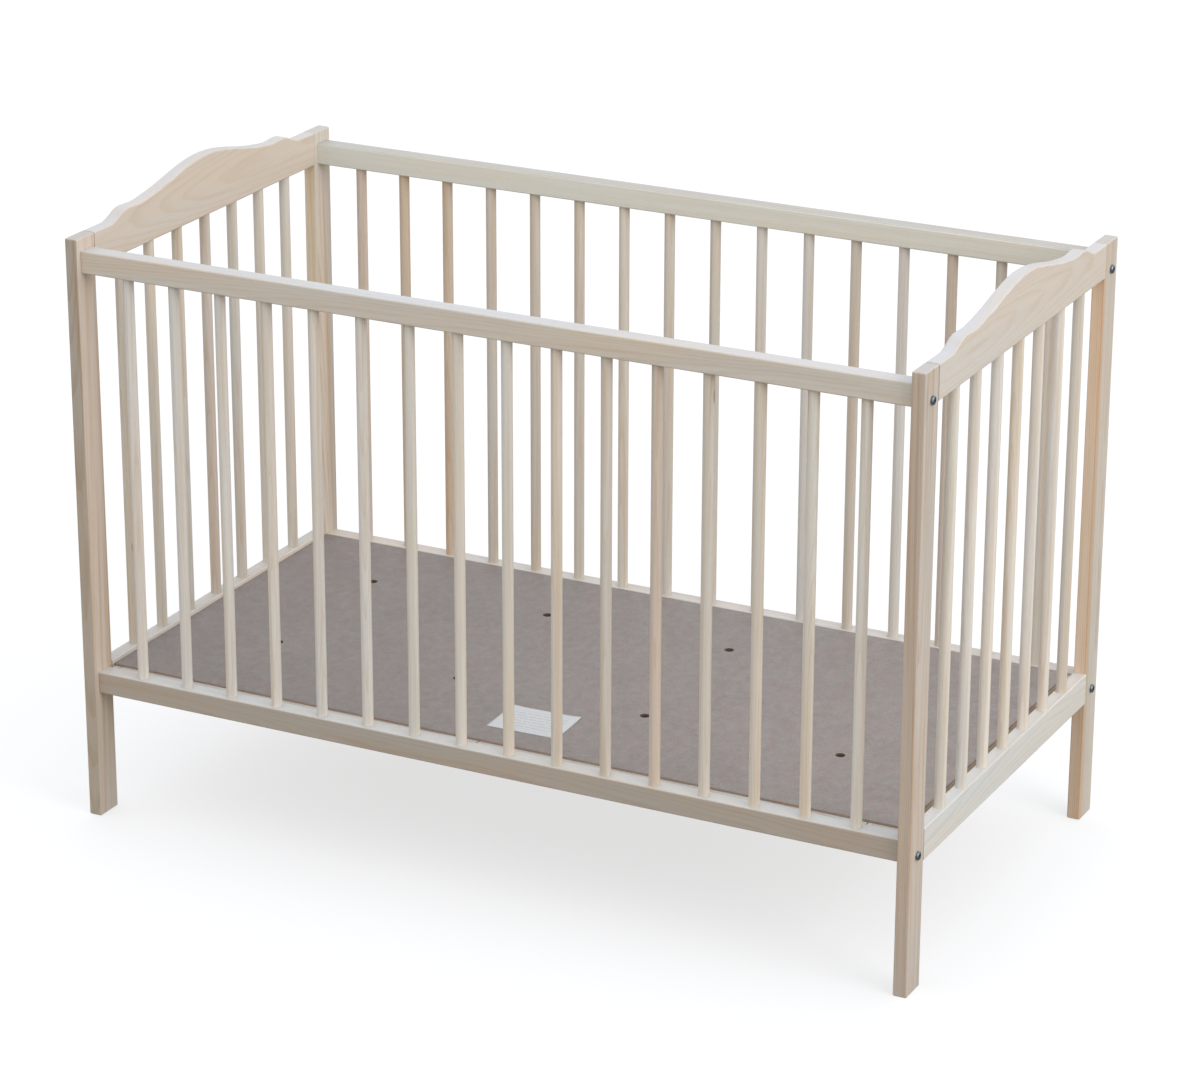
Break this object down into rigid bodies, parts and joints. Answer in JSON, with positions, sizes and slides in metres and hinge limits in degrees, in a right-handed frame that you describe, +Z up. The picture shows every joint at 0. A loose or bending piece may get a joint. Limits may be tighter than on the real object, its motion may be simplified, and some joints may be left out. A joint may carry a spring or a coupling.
{
  "type": "baby crib",
  "caption": "Pale wooden baby crib with round spindle sides, wavy-topped end boards, slim square posts, bolted long rails and a lift-out hardboard base.",
  "frame": {"origin": "on the floor under the crib's centre, level with the bottom of the posts", "axes": "+X along the crib towards its right end, +Y from the front side to the back side, +Z up"},
  "size_m": [1.2478, 0.66, 0.8765],
  "materials": {
    "posts": "unfinished pale wood, fine grain, matt",
    "long_rails": "unfinished pale wood, fine grain, matt",
    "end_boards": "unfinished pale wood, fine grain, matt",
    "end_rails": "unfinished pale wood, fine grain, matt",
    "spindles": "unfinished pale wood, fine grain, matt",
    "ledgers": "unfinished pale wood, sawn, matt",
    "battens": "unfinished pale wood, sawn, matt",
    "hardboard": "pressed brown-grey hardboard, smooth side up, satin",
    "label": "matt white paper with faint grey blocks",
    "bolts": "blue-grey zinc-plated steel"
  },
  "bodies": {
    "frame": {"front_left_post": "posts", "front_right_post": "posts", "back_left_post": "posts", "back_right_post": "posts", "front_top_rail": "long_rails", "front_bottom_rail": "long_rails", "back_top_rail": "long_rails", "back_bottom_rail": "long_rails", "left_end_board": "end_boards", "right_end_board": "end_boards", "left_end_rail": "end_rails", "right_end_rail": "end_rails", "front_spindle_01": "spindles", "front_spindle_02": "spindles", "front_spindle_03": "spindles", "front_spindle_04": "spindles", "front_spindle_05": "spindles", "front_spindle_06": "spindles", "front_spindle_07": "spindles", "front_spindle_08": "spindles", "front_spindle_09": "spindles", "front_spindle_10": "spindles", "front_spindle_11": "spindles", "front_spindle_12": "spindles", "front_spindle_13": "spindles", "front_spindle_14": "spindles", "front_spindle_15": "spindles", "front_spindle_16": "spindles", "back_spindle_01": "spindles", "back_spindle_02": "spindles", "back_spindle_03": "spindles", "back_spindle_04": "spindles", "back_spindle_05": "spindles", "back_spindle_06": "spindles", "back_spindle_07": "spindles", "back_spindle_08": "spindles", "back_spindle_09": "spindles", "back_spindle_10": "spindles", "back_spindle_11": "spindles", "back_spindle_12": "spindles", "back_spindle_13": "spindles", "back_spindle_14": "spindles", "back_spindle_15": "spindles", "back_spindle_16": "spindles", "front_ledger": "ledgers", "back_ledger": "ledgers", "front_left_top_bolt": "bolts", "front_left_bottom_bolt": "bolts", "front_right_top_bolt": "bolts", "front_right_bottom_bolt": "bolts", "back_left_top_bolt": "bolts", "back_left_bottom_bolt": "bolts", "back_right_top_bolt": "bolts", "back_right_bottom_bolt": "bolts"},
    "base": {"base_hardboard": "hardboard", "base_batten_1": "battens", "base_batten_2": "battens", "base_batten_3": "battens", "paper_label": "label"}
  },
  "joints": [
    {"name": "base_lift", "type": "slide", "parent": "frame", "child": "base", "axis": [0, 0, 1], "range_m": [0, 0.7]}
  ]
}
